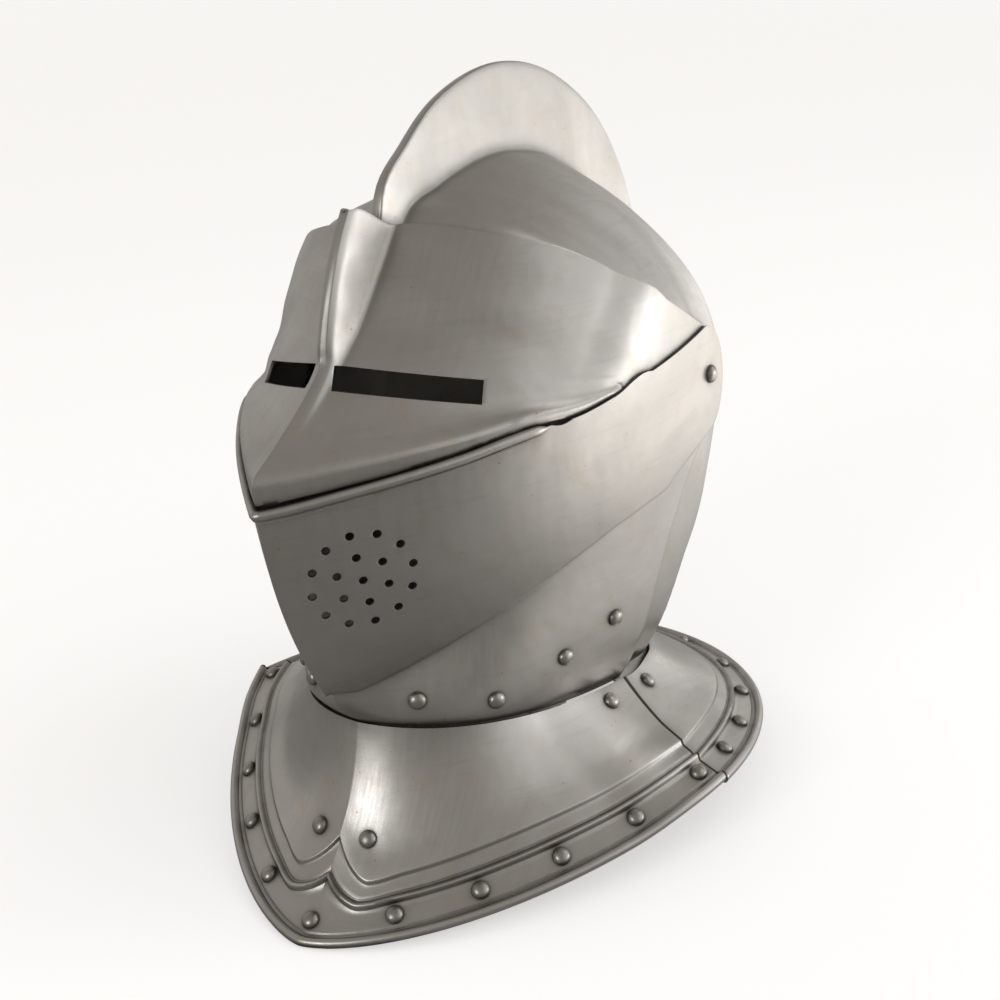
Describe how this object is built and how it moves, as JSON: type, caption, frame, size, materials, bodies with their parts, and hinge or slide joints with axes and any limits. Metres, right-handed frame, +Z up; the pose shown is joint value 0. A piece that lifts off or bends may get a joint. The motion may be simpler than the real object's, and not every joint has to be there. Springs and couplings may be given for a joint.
{
  "type": "knight helmet",
  "caption": "Close helmet in polished steel: combed skull, keeled visor with sight slits, pierced ventail, chin plate and a flared two-plate gorget with a rolled, riveted rim.",
  "frame": {"origin": "middle of the footprint at table height", "axes": "+X to the wearer's left, -Y the way the helmet faces, +Z up"},
  "size_m": [0.3, 0.396, 0.3736],
  "materials": {
    "polished_steel": "satin polish",
    "face_steel": "satin polish, a little darker",
    "gorget_steel": "bright satin polish",
    "dark_steel": "steel, toned dark round the heads"
  },
  "bodies": {
    "skull_body": {"pivot_pin_left": "dark_steel", "pivot_pin_right": "dark_steel", "pivot_washer_left": "dark_steel", "pivot_washer_right": "dark_steel", "rear_gorget": "gorget_steel", "rear_gorget_rivet_1": "dark_steel", "rear_gorget_rivet_10": "dark_steel", "rear_gorget_rivet_11": "dark_steel", "rear_gorget_rivet_12": "dark_steel", "rear_gorget_rivet_13": "dark_steel", "rear_gorget_rivet_2": "dark_steel", "rear_gorget_rivet_3": "dark_steel", "rear_gorget_rivet_4": "dark_steel", "rear_gorget_rivet_5": "dark_steel", "rear_gorget_rivet_6": "dark_steel", "rear_gorget_rivet_7": "dark_steel", "rear_gorget_rivet_8": "dark_steel", "rear_gorget_rivet_9": "dark_steel", "skull": "polished_steel"},
    "bevor_body": {"bevor": "polished_steel", "chin_rivet_1": "dark_steel", "chin_rivet_2": "dark_steel", "chin_rivet_3": "dark_steel", "chin_rivet_4": "dark_steel", "chin_rivet_5": "dark_steel", "chin_rivet_6": "dark_steel", "chin_rivet_7": "dark_steel", "chin_rivet_8": "dark_steel", "front_gorget": "gorget_steel", "front_gorget_rivet_1": "dark_steel", "front_gorget_rivet_10": "dark_steel", "front_gorget_rivet_11": "dark_steel", "front_gorget_rivet_2": "dark_steel", "front_gorget_rivet_3": "dark_steel", "front_gorget_rivet_4": "dark_steel", "front_gorget_rivet_5": "dark_steel", "front_gorget_rivet_6": "dark_steel", "front_gorget_rivet_7": "dark_steel", "front_gorget_rivet_8": "dark_steel", "front_gorget_rivet_9": "dark_steel", "front_lap_rivet_1": "dark_steel", "front_lap_rivet_2": "dark_steel", "front_lap_rivet_3": "dark_steel", "front_lap_rivet_4": "dark_steel"},
    "ventail_body": {"ventail": "face_steel"},
    "visor_body": {"visor": "face_steel"}
  },
  "joints": [
    {"name": "bevor_hinge", "type": "hinge", "parent": "skull_body", "child": "bevor_body", "pos_m": [0, 0.0407, 0.2187], "axis": [-1, 0, 0], "range_deg": [0, 35]},
    {"name": "ventail_hinge", "type": "hinge", "parent": "bevor_body", "child": "ventail_body", "pos_m": [0, 0.0407, 0.2187], "axis": [-1, 0, 0], "range_deg": [0, 30]},
    {"name": "visor_hinge", "type": "hinge", "parent": "ventail_body", "child": "visor_body", "pos_m": [0, 0.0407, 0.2187], "axis": [-1, 0, 0], "range_deg": [0, 45]}
  ]
}
